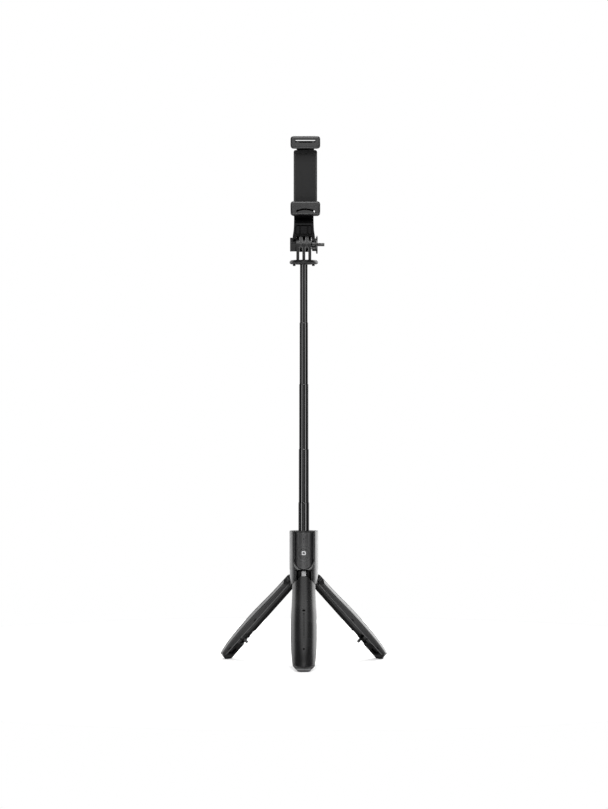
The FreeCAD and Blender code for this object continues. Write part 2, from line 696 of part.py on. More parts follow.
springs = Piece("clamp_springs")
coils = [(-4.0, front_y + 3.5), (7.2, front_y + 3.5)]
springs.pad(springs.rounds("XY_Plane", coils, 1.1, gap_low + 4.8), 7.2)

lower = Piece("lower_jaw_pad")
pad_x = (left + 1.2, right - 1.2)
lower.pad(lower.box("XY_Plane", pad_x[0], -jaw_front + 2.7, pad_x[1], front_y - 0.2,
                    gap_low - pad_t), pad_t)

rest = Piece("rest_pad")
rest.pad(rest.box("XZ_Plane", left + 5.2, gap_low + 2.6, right - 5.2, house_top - 4, -front_y),
         front_y)

upper = Piece("upper_jaw")
upper.pad(upper.box("XZ_Plane", left, gap_high + pad_t, right, jaw_high, jaw_front),
          jaw_front + back_y, back=True)
upper.pad(upper.box("XZ_Plane", left, gap_high - lip_h, right, jaw_high, jaw_front), lip, back=True)
upper.fillet(jaw_round, [(left.value, jaw_high.value), (right.value, jaw_high.value)], "y")
lip_end = gap_high - lip_h
upper.fillet(jaw_round, [(left.value, lip_end.value), (right.value, lip_end.value)], "y")
upper.cut(upper.box("XZ_Plane", -slot_l, jaw_high - 4.5, slot_r, jaw_high - 3.6), THROUGH, both=True)
upper.pad(upper.box("XZ_Plane", -slot_l + 0.75, gap_low + 12.6, slot_r - 0.75, gap_high + 2, -3.1),
          2.4, back=True)

upper_pad = Piece("upper_jaw_pad")
upper_pad.pad(upper_pad.box("XY_Plane", pad_x[0], -jaw_front + 2.7, pad_x[1], front_y - 0.2,
                            gap_high), pad_t)

# ---------------------------------------------------------------- remote
remote = Piece("remote_shell")
remote.pad(remote.box("XZ_Plane", -rem_half, rem_c, rem_half, rem_top, rem_seam), 8)
remote.pad(remote.rounds("XZ_Plane", [(0, rem_c)], rem_half, rem_seam), 8)
outside = remote.rounds("XY_Plane", [(0, 0)], grip, rem_c - 20)
outside.addGeometry(Part.Circle(V(0, 0, 0), V(0, 0, 1), 40), False)
remote.cut(outside, 60, back=True)
inner = rem_half - 1.2
remote.cut(remote.box("XZ_Plane", -inner, rem_c, inner, rem_top - 1.2, rem_seam - 1), 2.95, back=True)
remote.cut(remote.rounds("XZ_Plane", [(0, rem_c)], inner, rem_seam - 1), 2.95, back=True)
remote.cut(remote.rounds("XZ_Plane", [(0, press_z)], press_r + 0.8, rem_seam), 3.5, back=True)
remote.cut(remote.rounds("XZ_Plane", [(0, press_z)], press_r + 0.1, rem_seam), 10, back=True)
remote.cut(remote.rounds("XZ_Plane", [(0, rem_top - 7)], 0.8, rem_seam), 10, back=True)
for hand in (-1, 1):
    track = [
        ((rem_half - 0.6) * hand, -rem_seam - 0.6),
        ((rem_half + 3) * hand, -rem_seam - 0.6),
        ((rem_half + 3) * hand, -rem_seam - 1.6),
        ((rem_half - 0.6) * hand, -rem_seam - 1.6),
    ]
    remote.cut(remote.outline("XY_Plane", track, rem_c - 20), 60, back=True)

back = Piece("remote_back_cover")
back.pad(back.box("XZ_Plane", -rem_half, rem_c, rem_half, rem_top, rem_back), rem_seam - rem_back)
back.pad(back.rounds("XZ_Plane", [(0, rem_c)], rem_half, rem_back), rem_seam - rem_back)

cell = Piece("remote_cell")
cell.pad(cell.rounds("XZ_Plane", [(0, rem_c + 9)], 7.7, rem_seam), 1.2)

board = Piece("remote_board")
board.pad(board.box("XZ_Plane", -7.4, rem_c - 2.5, 7.4, rem_top - 2, rem_seam + 1.25), 0.6)

switch = Piece("remote_switch")
switch.pad(switch.box("XZ_Plane", -2.6, press_z - 2.6, 2.6, press_z + 2.6, rem_seam + 1.85), 0.5)

lamp = Piece("remote_lamp")
lamp.pad(lamp.rounds("XZ_Plane", [(0, rem_top - 7)], 0.8, rem_seam + 1.85), 3.6)

button = Piece("shutter_button")
button.pad(button.rounds("XZ_Plane", [(0, press_z)], press_r + 0.6, rem_seam + 2.95), 0.5)
button.pad(button.rounds("XZ_Plane", [(0, press_z)], press_r, rem_seam + 2.95), 2.85)

# ---------------------------------------------------------------- output
doc.recompute()
faults = []
for thing in doc.Objects:
    if "Invalid" in thing.State or "Error" in thing.State:
        faults.append(thing.Label)
for body in pieces:
    if body.Shape.isNull() or not body.Shape.isValid():
        faults.append(body.Label)
if faults:
    raise RuntimeError("features that did not build: " + ", ".join(faults))

os.makedirs("parts", exist_ok=True)
for body in pieces:
    body.Shape.exportStep(os.path.join("parts", body.Label + ".step"))
print("wrote", len(pieces), "sub-parts")
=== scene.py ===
import json
import math

import bmesh
import bpy
from mathutils import Matrix, Vector


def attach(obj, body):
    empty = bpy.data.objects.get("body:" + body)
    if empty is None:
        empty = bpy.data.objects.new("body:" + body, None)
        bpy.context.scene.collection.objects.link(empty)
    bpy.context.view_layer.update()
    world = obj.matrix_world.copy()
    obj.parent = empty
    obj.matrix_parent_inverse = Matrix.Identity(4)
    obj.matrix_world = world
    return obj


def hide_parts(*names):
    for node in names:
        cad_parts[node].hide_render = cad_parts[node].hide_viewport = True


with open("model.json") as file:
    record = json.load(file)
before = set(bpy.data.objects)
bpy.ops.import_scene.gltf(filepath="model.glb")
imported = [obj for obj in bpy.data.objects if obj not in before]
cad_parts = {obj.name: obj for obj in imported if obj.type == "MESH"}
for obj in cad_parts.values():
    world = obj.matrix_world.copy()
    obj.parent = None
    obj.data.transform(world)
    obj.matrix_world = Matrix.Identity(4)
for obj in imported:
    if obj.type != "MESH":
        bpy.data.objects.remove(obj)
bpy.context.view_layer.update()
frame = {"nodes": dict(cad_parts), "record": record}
MM = 0.001
scene = bpy.context.scene
scene.view_settings.view_transform = "Standard"


# ------------------------------------------------------------------ materials
CREASE = 2.5          # reach of the shading in crevices, mm
GRAIN_SIZE = 900.0    # scale of the fine bump
ROUGH_SPREAD = 0.05   # how far the roughness wanders either way


def shader(name, colour, rough, specular=0.5, metal=0.0, grain=0.0, speckle=0.25, shade=0.8,
           fall=None, ior=1.5):
    """A material whose tone and roughness vary a little, with painted shade in its crevices that darkens the
    colour and weakens the gloss there.

    shade is how much darker the painted shade makes a closed crevice, and fall (start, end, remainder)
    weakens the gloss as the surface turns away from the eye.
    """
    made = bpy.data.materials.new(name)
    made.use_nodes = True
    nodes, links = made.node_tree.nodes, made.node_tree.links
    main = nodes["Principled BSDF"]
    main.inputs["Metallic"].default_value = metal
    main.inputs["IOR"].default_value = ior
    place = nodes.new("ShaderNodeTexCoord")
    cloud = nodes.new("ShaderNodeTexNoise")
    cloud.inputs["Scale"].default_value = 60.0
    cloud.inputs["Detail"].default_value = 4.0
    links.new(place.outputs["Object"], cloud.inputs["Vector"])
    tone = nodes.new("ShaderNodeMapRange")
    tone.inputs["To Min"].default_value = 1.0 - speckle
    tone.inputs["To Max"].default_value = 1.0 + speckle
    links.new(cloud.outputs["Fac"], tone.inputs["Value"])
    # painted shade: ambient occlusion darkens the colour in creases, recesses and between parts
    near = nodes.new("ShaderNodeAmbientOcclusion")
    near.inputs["Distance"].default_value = CREASE * MM
    near.samples = 6
    painted_shade = nodes.new("ShaderNodeMapRange")
    painted_shade.inputs["From Min"].default_value = 0.25
    painted_shade.inputs["From Max"].default_value = 0.9
    painted_shade.inputs["To Min"].default_value = 1.0 - shade
    links.new(near.outputs["AO"], painted_shade.inputs["Value"])
    both = nodes.new("ShaderNodeMath")
    both.operation = "MULTIPLY"
    links.new(tone.outputs["Result"], both.inputs[0])
    links.new(painted_shade.outputs["Result"], both.inputs[1])
    mix = nodes.new("ShaderNodeVectorMath")
    mix.operation = "SCALE"
    mix.inputs[0].default_value = colour
    links.new(both.outputs[0], mix.inputs["Scale"])
    links.new(mix.outputs["Vector"], main.inputs["Base Color"])
    # the gloss is weakened by the same painted shade
    gloss = nodes.new("ShaderNodeMath")
    gloss.operation = "MULTIPLY"
    gloss.inputs[1].default_value = specular
    links.new(painted_shade.outputs["Result"], gloss.inputs[0])
    if fall:
        weight = nodes.new("ShaderNodeLayerWeight")
        weight.inputs["Blend"].default_value = 0.5
        drop = nodes.new("ShaderNodeMapRange")
        drop.inputs["From Min"].default_value = fall[0]
        drop.inputs["From Max"].default_value = fall[1]
        drop.inputs["To Min"].default_value = 1.0
        drop.inputs["To Max"].default_value = fall[2]
        links.new(weight.outputs["Facing"], drop.inputs["Value"])
        again = nodes.new("ShaderNodeMath")
        again.operation = "MULTIPLY"
        links.new(gloss.outputs[0], again.inputs[0])
        links.new(drop.outputs["Result"], again.inputs[1])
        gloss = again
    links.new(gloss.outputs[0], main.inputs["Specular IOR Level"])
    wear = nodes.new("ShaderNodeMapRange")
    wear.inputs["To Min"].default_value = max(rough - ROUGH_SPREAD, 0.02)
    wear.inputs["To Max"].default_value = rough + ROUGH_SPREAD
    links.new(cloud.outputs["Fac"], wear.inputs["Value"])
    links.new(wear.outputs["Result"], main.inputs["Roughness"])
    if grain:
        fine = nodes.new("ShaderNodeTexNoise")
        fine.inputs["Scale"].default_value = GRAIN_SIZE
        fine.inputs["Detail"].default_value = 2.0
        links.new(place.outputs["Object"], fine.inputs["Vector"])
        bump = nodes.new("ShaderNodeBump")
        bump.inputs["Strength"].default_value = grain
        bump.inputs["Distance"].default_value = 0.0001
        links.new(fine.outputs["Fac"], bump.inputs["Height"])
        links.new(bump.outputs["Normal"], main.inputs["Normal"])
    return made


MATS = {
    "handle_plastic": shader("handle_plastic", (0.006, 0.006, 0.0065), 0.3, specular=0.75, grain=0.15),
    # painted shade: a duller copy of the leg plastic, its weaker gloss standing in for the shade on the
    # flanks
    "leg_flank_shaded": shader("leg_flank_shaded", (0.007, 0.007, 0.0073), 0.42, specular=0.28, grain=0.2),
    "lining_black": shader("lining_black", (0.006, 0.006, 0.0063), 0.45, specular=0.25, grain=0.2),
    # partly painted highlight: the seam chamfer is real, and its lighter grey colour stands in for the light
    # it catches
    "seam_highlight": shader("seam_highlight", (0.03, 0.03, 0.031), 0.35, specular=1.0, shade=0.2),
    "screw_steel": shader("screw_steel", (0.16, 0.16, 0.165), 0.3, metal=1.0, speckle=0.08, shade=0.5),
    "tongue_grey": shader("tongue_grey", (0.34, 0.34, 0.345), 0.45, specular=0.4, speckle=0.1),
    "leg_plastic": shader("leg_plastic", (0.004, 0.004, 0.0043), 0.27, specular=0.5, grain=0.2),
    "clamp_plastic": shader("clamp_plastic", (0.008, 0.008, 0.0083), 0.36, specular=0.4, grain=0.2),
    "remote_plastic": shader("remote_plastic", (0.004, 0.004, 0.0045), 0.32, specular=1.0, ior=1.6,
                             fall=(0.0, 0.2, 0.04)),
    "button_plastic": shader("button_plastic", (0.004, 0.004, 0.0045), 0.3, specular=1.0, ior=1.6,
                             fall=(0.0, 0.2, 0.04)),
    "tube_black": shader("tube_black", (0.0015, 0.0015, 0.0017), 0.09, specular=0.72, shade=0.3,
                         fall=(0.14, 0.24, 0.02), ior=2.0),
    "steel": shader("steel", (0.75, 0.75, 0.76), 0.42, metal=1.0, speckle=0.06, shade=0.3),
    "rivet_steel": shader("rivet_steel", (0.5, 0.5, 0.51), 0.35, metal=1.0, speckle=0.06, shade=0.3),
    "black_steel": shader("black_steel", (0.0015, 0.0015, 0.0016), 0.45, specular=0.08),
    "rubber": shader("rubber", (0.006, 0.006, 0.0063), 0.55, specular=0.2, grain=0.35),
    "rubber_end": shader("rubber_end", (0.09, 0.09, 0.092), 0.4, specular=1.0, grain=0.2),
    "mount_black": shader("mount_black", (0.006, 0.006, 0.0062), 0.36, specular=0.24, grain=0.15),
    "knob_plastic": shader("knob_plastic", (0.01, 0.01, 0.0103), 0.38, specular=0.42, grain=0.15),
    "finger_plastic": shader("finger_plastic", (0.006, 0.006, 0.0063), 0.4, specular=0.3, grain=0.15),
    "guide_plastic": shader("guide_plastic", (0.03, 0.03, 0.03), 0.45),
    "board": shader("board", (0.02, 0.1, 0.045), 0.4),
    "print": shader("print", (0.42, 0.42, 0.43), 0.5, speckle=0.1, shade=0.0),
    # painted shade: a darker, duller copy of the clamp plastic for the arm, which sits in shade
    "arm_shaded": shader("arm_shaded", (0.003, 0.003, 0.0033), 0.42, specular=0.1, grain=0.2),
    "lamp": shader("lamp", (0.03, 0.03, 0.032), 0.2),
}
slot_of = {row["node"]: row["material_slot"] for row in frame["record"]["subparts"]}


def dress(obj, name):
    obj.data.materials.clear()
    obj.data.materials.append(MATS[name])


# ------------------------------------------------------------------ solids, in millimetres
def lay(axis, a, b, level):
    """A point from two outline coordinates and its place along an axis."""
    return {"x": (level, a, b), "y": (a, level, b), "z": (a, b, level)}[axis]


def arc(cx, cy, radius, start, stop, steps):
    """Points on a circle from one angle to another, in degrees."""
    spots = []
    for i in range(steps + 1):
        turned = math.radians(start + (stop - start) * i / steps)
        spots.append((cx + radius * math.cos(turned), cy + radius * math.sin(turned)))
    return spots


def rounded(corners, radius, steps=5):
    """An outline with each corner replaced by a small arc."""
    spots = []
    count = len(corners)
    for i in range(count):
        here = Vector(corners[i])
        before = Vector(corners[i - 1]) - here
        after = Vector(corners[(i + 1) % count]) - here
        size = radius[i] if isinstance(radius, (list, tuple)) else radius
        if size <= 0:
            spots.append(tuple(here))
            continue
        half = before.angle(after) / 2
        reach = min(size / math.tan(half), before.length * 0.49, after.length * 0.49)
        start = here + before.normalized() * reach
        stop = here + after.normalized() * reach
        for k in range(steps + 1):
            t = k / steps
            spots.append(tuple((1 - t) ** 2 * start + 2 * t * (1 - t) * here + t * t * stop))
    return spots


def slab(axis, outline, lo, hi):
    """An outline pushed straight along an axis."""
    made = bmesh.new()
    near = [made.verts.new(lay(axis, a, b, lo)) for a, b in outline]
    far = [made.verts.new(lay(axis, a, b, hi)) for a, b in outline]
    made.faces.new(near)
    made.faces.new(far)
    for i in range(len(outline)):
        j = (i + 1) % len(outline)
        made.faces.new((near[i], near[j], far[j], far[i]))
    bmesh.ops.recalc_face_normals(made, faces=made.faces)
    return made


def box(x0, y0, z0, x1, y1, z1):
    return slab("z", [(x0, y0), (x1, y0), (x1, y1), (x0, y1)], z0, z1)


def rod(axis, a, b, radius, lo, hi, steps=40):
    return slab(axis, arc(a, b, radius, 0, 360 - 360 / steps, steps - 1), lo, hi)


def lathe(profile, steps=96):
    """A closed outline of (radius, height) turned about the Z axis."""
    made = bmesh.new()
    rings = []
    for radius, height in profile:
        if radius < 1e-6:
            rings.append([made.verts.new((0, 0, height))] * steps)
            continue
        ring = []
        for i in range(steps):
            turned = 2 * math.pi * i / steps
            ring.append(made.verts.new((radius * math.cos(turned), radius * math.sin(turned), height)))
        rings.append(ring)
    for ring, ahead in zip(rings, rings[1:] + rings[:1]):
        for i in range(steps):
            j = (i + 1) % steps
            corners = list(dict.fromkeys((ring[i], ring[j], ahead[j], ahead[i])))
            if len(corners) > 2:
                made.faces.new(corners)
    bmesh.ops.recalc_face_normals(made, faces=made.faces)
    return made


def loft(rings):
    """A skin over rings of equal length, closed at both ends."""
    made = bmesh.new()
    laid = [[made.verts.new(spot) for spot in ring] for ring in rings]
    made.faces.new(laid[0])
    made.faces.new(laid[-1])
    for ring, ahead in zip(laid, laid[1:]):
        for i in range(len(ring)):
            j = (i + 1) % len(ring)
            made.faces.new((ring[i], ring[j], ahead[j], ahead[i]))
    bmesh.ops.recalc_face_normals(made, faces=made.faces)
    return made


def moved(part, matrix):
    part.transform(matrix)
    return part


def twin(part, matrix=None):
    made = part.copy()
    if matrix is not None:
        made.transform(matrix)
    return made


def together(*parts):
    """Several solids in one mesh."""
    made = bmesh.new()
    for part in parts:
        spare = bpy.data.meshes.new("spare")
        part.to_mesh(spare)
        part.free()
        made.from_mesh(spare)
        bpy.data.meshes.remove(spare)
    return made


def carve(base, *tools, how="DIFFERENCE"):
    """The base with each tool taken away, or joined or kept in common."""
    for tool in tools:
        pair = []
        for part in (base, tool):
            mesh = bpy.data.meshes.new("work")
            part.to_mesh(mesh)
            part.free()
            pair.append(bpy.data.objects.new("work", mesh))
            scene.collection.objects.link(pair[-1])
        step = pair[0].modifiers.new("step", "BOOLEAN")
        step.operation = how
        step.solver = "EXACT"
        step.object = pair[1]
        graph = bpy.context.evaluated_depsgraph_get()
        result = bpy.data.meshes.new_from_object(pair[0].evaluated_get(graph))
        base = bmesh.new()
        base.from_mesh(result)
        bpy.data.meshes.remove(result)
        for spare in pair:
            mesh = spare.data
            bpy.data.objects.remove(spare)
            bpy.data.meshes.remove(mesh)
        bmesh.ops.remove_doubles(base, verts=base.verts, dist=0.002)
        bmesh.ops.dissolve_degenerate(base, dist=0.002, edges=base.edges)
    return base


def edge_round(obj, width, segments=2, angle=32):
    """Soft edges, and normals that keep the flat faces flat."""
    edge = obj.modifiers.new("edge", "BEVEL")
    edge.width = width * MM
    edge.segments = segments
    edge.limit_method = "ANGLE"
    edge.angle_limit = math.radians(angle)
    edge.use_clamp_overlap = True
    edge.miter_outer = "MITER_ARC" if segments > 2 else "MITER_SHARP"
    flat = obj.modifiers.new("flat", "WEIGHTED_NORMAL")
    flat.keep_sharp = True


def show(name, part, body, slot, nodes=(), width=0.25, segments=2, angle=32, look=None, second=None):
    """Turn a solid into a finished piece that rides on a body."""
    part.transform(Matrix.Scale(MM, 4))
    mesh = bpy.data.meshes.new(name)
    part.to_mesh(mesh)
    part.free()
    for face in mesh.polygons:
        face.use_smooth = True
    obj = bpy.data.objects.new(name, mesh)
    scene.collection.objects.link(obj)
    mesh.materials.append(MATS[look or slot])
    if second:
        mesh.materials.append(MATS[second])
    if width:
        edge_round(obj, width, segments, angle)
    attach(obj, body)
    if nodes:
        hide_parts(*nodes)
    return obj


# ------------------------------------------------------------------ handle
LEG_SIDES = {"front": 0, "right": 120, "left": -120}   # degrees about the pole
GRIP, BORE, TUBE_HOLE = 14.5, 10.5, 5.96             # radii of the handle
LOW, CEILING, TOP = 81.0, 95.5, 134.5                # its lower end, recess roof and top
CRADLE, CRADLE_BACK, ARC_Z = 9.9, -7.55, 105.2       # the pocket of the remote
RECESS, RECESS_BACK = 9.3, -7.3                      # the three pockets of the leg hinges
COLLAR = 2.0


def cradle_shape(half, top):
    """Half-round at the bottom, straight above."""
    return [(half, top), (-half, top)] + arc(0, ARC_Z, half, 180, 360, 28)


def cradle_rim(half, radius):
    """The outline of the cradle laid on a cylinder about the pole."""
    return [(x, -math.sqrt(radius ** 2 - x ** 2), z) for x, z in cradle_shape(half, 150)]


def rim_cutter():
    """A sloping edge all round the mouth of the cradle."""
    return loft([cradle_rim(CRADLE + 1.5, 17), cradle_rim(CRADLE + 1.5, GRIP + 0.05),
                 cradle_rim(CRADLE - 0.05, GRIP - 0.87), cradle_rim(CRADLE - 0.4, 12.4)])


def soften(part, near, offset, segments=3):
    """Bevel only the edges whose two ends pass a test."""
    edges = [e for e in part.edges if all(near(v.co) for v in e.verts)]
    bmesh.ops.bevel(part, geom=edges, offset=offset, segments=segments, profile=0.6, affect="EDGES",
                    clamp_overlap=True)
    return part


def doorway(half, foot, back, front):
    """A block with rounded upper corners that reaches up to the roof of the recesses."""
    return slab("y", rounded([(-half, foot), (half, foot), (half, CEILING), (-half, CEILING)],
                             (0, 0, 0.9, 0.9)), front, back)


shell = lathe([(TUBE_HOLE, CEILING), (BORE, CEILING), (BORE, LOW), (GRIP, LOW), (GRIP, TOP - COLLAR),
               (TUBE_HOLE, TOP - COLLAR)], 128)
cuts = []
for side in LEG_SIDES.values():
    # the upper half of a recess goes deeper, round the hinge block
    for part in (doorway(RECESS, 70, RECESS_BACK, -20), doorway(7.8, 86, -4.9, -7.8)):
        cuts.append(moved(part, Matrix.Rotation(math.radians(side), 4, "Z")))
for place in (90, 210, 330):
    turned = math.radians(place)
    cuts.append(rod("z", 12.5 * math.cos(turned), 12.5 * math.sin(turned), 1.4, 70, 89, 24))
cuts.append(slab("y", cradle_shape(CRADLE, 150), -20, CRADLE_BACK))
shell = carve(shell, *cuts, rim_cutter())
rails = []
for hand in (-1, 1):
    lo, hi = sorted((8.75 * hand, 10.1 * hand))
    rails.append(box(lo, -10.4, 106.2, hi, -9.6, TOP - COLLAR))
show("grip_shell", together(shell, *rails), "handle", "handle_plastic", ("handle_body",), 0.3, 3)

ring = lathe([(TUBE_HOLE, TOP - 1.95), (GRIP, TOP - 1.95), (GRIP, TOP), (TUBE_HOLE, TOP)], 128)
bump_holes = together(*[rod("z", x, 0, 1.6, TOP - 3, TOP + 2, 24) for x in (-9.8, 9.8)])
ring = carve(ring, slab("y", cradle_shape(CRADLE, 150), -20, CRADLE_BACK), rim_cutter(), bump_holes)
show("grip_collar", ring, "handle", "handle_plastic", ("top_collar",), 0.35, 3)

# ------------------------------------------------------------------ remote
REM, REM_TOP = 9.2, 133.4                            # half width and top of the remote
PRESS, PRESS_Z = 5.0, 111.6                          # radius and height of its button
case = slab("y", [(REM, REM_TOP), (-REM, REM_TOP)] + arc(0, ARC_Z, REM, 180, 360, 36), -16, -8.9)
case = carve(case, rod("z", 0, 0, GRIP - 0.05, 90, 140, 160), how="INTERSECT")
hollow = rod("y", 0, PRESS_Z, PRESS + 0.15, -20, -11.2, 56)
lamp_eye = rod("y", 0, REM_TOP - 7, 0.85, -20, -10, 24)
# a shallow ring round the button, left between two cylinders and a smaller copy of the grip
groove = rod("y", 0, PRESS_Z, 8.25, -20, -8, 72)
groove = carve(groove, rod("y", 0, PRESS_Z, 7.95, -21, -7, 72), rod("z", 0, 0, GRIP - 0.27, 90, 140, 160))
case = carve(case, hollow, lamp_eye, groove)


def remote_edge(spot):
    """The outer edge of the remote: its two straight sides and its half-round end."""
    straight = abs(abs(spot.x) - REM) < 0.05 and spot.z > ARC_Z - 0.5
    curved = abs(math.hypot(spot.x, spot.z - ARC_Z) - REM) < 0.07 and spot.z < ARC_Z
    return (straight or curved) and spot.y < -11.0


soften(case, remote_edge, 0.9, 4)
show("remote_case", case, "remote", "remote_plastic", ("remote_shell",), 0.12, 2)

cap = rod("y", 0, PRESS_Z, PRESS, -16, -11.85, 64)
cap = carve(cap, rod("z", 0, 0, GRIP + 0.2, 90, 140, 200), how="INTERSECT")
show("shutter_cap", cap, "button", "button_plastic", ("shutter_button",), 0.3, 3)
# the sign is a thin skin that stands a little proud of the button
MARK_Z = PRESS_Z + 1.0
sign = slab("y", rounded([(-2.15, MARK_Z - 2.2), (2.15, MARK_Z - 2.2), (2.15, MARK_Z + 2.0),
                          (-2.15, MARK_Z + 2.0)], (0.7, 0.7, 1.7, 1.7)), -16, -14.3)
sign = carve(sign, rod("y", 0, MARK_Z, 1.05, -17, -14, 32))
sign = carve(sign, rod("z", 0, 0, GRIP + 0.26, 90, 140, 200), how="INTERSECT")
sign = carve(sign, rod("z", 0, 0, GRIP + 0.1, 90, 140, 200))
show("shutter_sign", sign, "button", "button_plastic", (), 0, look="print")

# ------------------------------------------------------------------ legs
# A leg is drawn hanging from its pin: w = x is sideways, n = -y points outward from the pole
# and u = -z runs down the leg.
HALF = math.radians(59.4)                            # half the angle that a leg wraps
SEAM, GAP = 9.8, 0.06                                # radius of the parting, and half its gap
LEG_END, SOLE = 123.0, 118.16                        # end of a leg, and u - n on the floor
PIN_N, PIN_R = 9.4, 1.06                             # place and radius of the pin hole
SOLE_THICK = 4.5
BELLY = [(9.0, 14.35), (22.0, 14.4), (38.0, 14.85), (48.0, 15.4), (58.0, 15.8), (69.0, 16.0), (79.0, 16.0),
         (89.0, 15.8), (99.0, 15.4), (107.0, 14.85), (114.5, 13.95), (119.3, 13.1), (123.5, 12.1)]


def belly(u):
    """Outer radius of a leg at a distance below its pin, on a smooth curve."""
    for k in range(len(BELLY) - 1):
        (u0, r0), (u1, r1) = BELLY[k], BELLY[k + 1]
        if u <= u1 or k == len(BELLY) - 2:
            before = BELLY[max(k - 1, 0)]
            after = BELLY[min(k + 2, len(BELLY) - 1)]
            m0 = (r1 - before[1]) / (u1 - before[0]) * (u1 - u0)
            m1 = (after[1] - r0) / (after[0] - u0) * (u1 - u0)
            t = max(0.0, min(1.0, (u - u0) / (u1 - u0)))
            return ((2 * t ** 3 - 3 * t ** 2 + 1) * r0 + (t ** 3 - 2 * t ** 2 + t) * m0
                    + (-2 * t ** 3 + 3 * t ** 2) * r1 + (t ** 3 - t ** 2) * m1)


def fan(radius, steps, spread=1.0):
    """Points (w, n) on an arc about the pole axis, from +spread to -spread of the half angle."""
    turns = [HALF * spread * (1 - 2 * i / steps) for i in range(steps + 1)]
    return [(radius * math.sin(a), radius * math.cos(a)) for a in turns]


def sector(u, inner, outer, corner):
    """Cross-section of a leg: outer arc with soft corners, radial flanks and an inner arc."""
    lean = math.asin(corner / (outer - corner))
    top = HALF - lean
    arc_w, arc_n = (outer - corner) * math.sin(top), (outer - corner) * math.cos(top)
    crown = fan(outer, 24, top / HALF)[::-1]
    turns = [top + (math.pi / 2 + lean) * k / 5 for k in range(1, 6)]
    ends = [[(hand * (arc_w + corner * math.sin(a)), arc_n + corner * math.cos(a)) for a in turns]
            for hand in (1, -1)]
    return [(w, -n, -u) for w, n in crown + ends[0] + fan(inner, 12) + ends[1][::-1]]


def flank_box(r0, r1, u0, u1, depth, hand, corner=0.8):
    """A rounded block sunk into a flank, from outside to a depth."""
    part = slab("y", rounded([(r0, -u1), (r1, -u1), (r1, -u0), (r0, -u0)], corner), -depth, 2.0)
    # the block's x axis turns to run out along the flank and its y axis to leave the leg
    out, off = (math.sin(HALF) * hand, -math.cos(HALF)), (math.cos(HALF) * hand, math.sin(HALF))
    part = moved(part, Matrix(((out[0], off[0], 0, 0), (out[1], off[1], 0, 0), (0, 0, 1, 0), (0, 0, 0, 1))))
    if hand < 0:
        bmesh.ops.reverse_faces(part, faces=part.faces[:])
    part.normal_update()
    return part


def end_outline(top):
    """A leg's outline seen from outside: the given upper edge, then down round the tip."""
    side = [(15, -90), (15, -107), (12.7, -112.8), (12.0, -115), (11.1, -116.7), (9.9, -118.2),
            (8.3, -119.7), (6.6, -121.0), (4.6, -122.1), (2.4, -122.8)]
    return top + side + [(0, -LEG_END)] + [(-a, b) for a, b in side[::-1]]


# the upper edge of a leg's outline: two shoulders and an arch between them
shoulder = [(-15, -15.5), (-13.2, -14.4), (-11.6, -12.5), (-9.4, -11.0), (-7.4, -10.2), (-5.9, -9.9)]
arch = [(-5.6, -9.5)] + [(-5.5 * math.cos(math.pi * i / 20), -8.9 + 2.9 * math.sin(math.pi * i / 20))
                         for i in range(21)] + [(5.6, -9.5)]
mirror = [(-a, b) for a, b in shoulder[::-1]]
stations = [4.0] + [8 + (LEG_END + 1.5 - 8) * i / 46 for i in range(47)]
leg_shell = loft([sector(u, SEAM + GAP, belly(max(u, 9.0)), 1.5) for u in stations])
leg_shell = carve(leg_shell, slab("y", end_outline(shoulder + arch + mirror), -22, -1), how="INTERSECT")
slot_tool = box(-2.3, -11.5, -21.1, 2.3, -6, 2)              # room for the tongue
line_tool = box(-0.75, -20, -100.7, 0.75, -15.25, -56.4)     # the groove between the two dots
dots = together(rod("y", 0, -52.9, 1.5, -20, -14.2, 28), rod("y", 0, -102.4, 1.1, -20, -13.8, 28))
marks = together(*[flank_box(r - 0.55, r + 0.55, u - 2.0, u + 2.0, 1.2, hand, 0.5)
                   for hand in (-1, 1) for r, u in ((11.3, 64.5), (11.3, 107.5))])
leg_shell = carve(leg_shell, slot_tool, line_tool, dots, marks)
# the flanks and steep end faces take the duller copy of the leg plastic, painted shade
flank_ways = [Vector((math.cos(HALF) * hand, math.sin(HALF), 0)) for hand in (-1, 1)]
for face in leg_shell.faces:
    facing = max(face.normal.dot(way) for way in flank_ways)
    if facing > 0.95 or abs(face.normal.z) > 0.35:
        face.material_index = 1


def half_ring(inner, u):
    """Cross-section of the inner half of a leg, with a sloping edge along the seam."""
    spots = [(inner, k / 8) for k in range(-8, 9)] + [(SEAM - 0.75, 1.0)]
    spots += [(SEAM - GAP, k / 8 * 0.93) for k in range(8, -9, -1)] + [(SEAM - 0.75, -1.0)]
    return [(r * math.sin(HALF * t), -r * math.cos(HALF * t), -u) for r, t in spots]


lining = loft([half_ring(6.2, u) for u in (9.5, 98.0)])
wedge = loft([half_ring(2.0, u) for u in (98.0, LEG_END + 1)])
lining = carve(lining, wedge, how="UNION")
lining = carve(lining, slab("y", end_outline(shoulder + mirror), -22, 2), how="INTERSECT")
cut = SOLE - SOLE_THICK * math.sqrt(2)               # u - n where the rubber sole begins
lining = carve(lining, slab("x", [(4, 4 - cut), (-14, -cut - 14), (4, -cut - 30)], -20, 20))
foot = loft([[(w, -n, -u) for w, n in fan(1.6, 8)[::-1] + fan(SEAM - GAP, 16)] for u in (96.0, LEG_END + 1)])
foot = carve(foot, slab("y", end_outline([(-15, -95), (15, -95)]), -22, 2), how="INTERSECT")
foot = carve(foot, slab("x", [(6, 6 - cut - 0.1), (-16, -cut - 16.1), (-16, 20), (6, 20)], -20, 20),
             slab("x", [(6, 6 - SOLE), (-16, -SOLE - 16), (-16, -SOLE - 60), (6, -SOLE - 60)], -20, 20))
for face in foot.faces:
    if face.normal.z > -0.3:
        face.material_index = 1
pockets = []
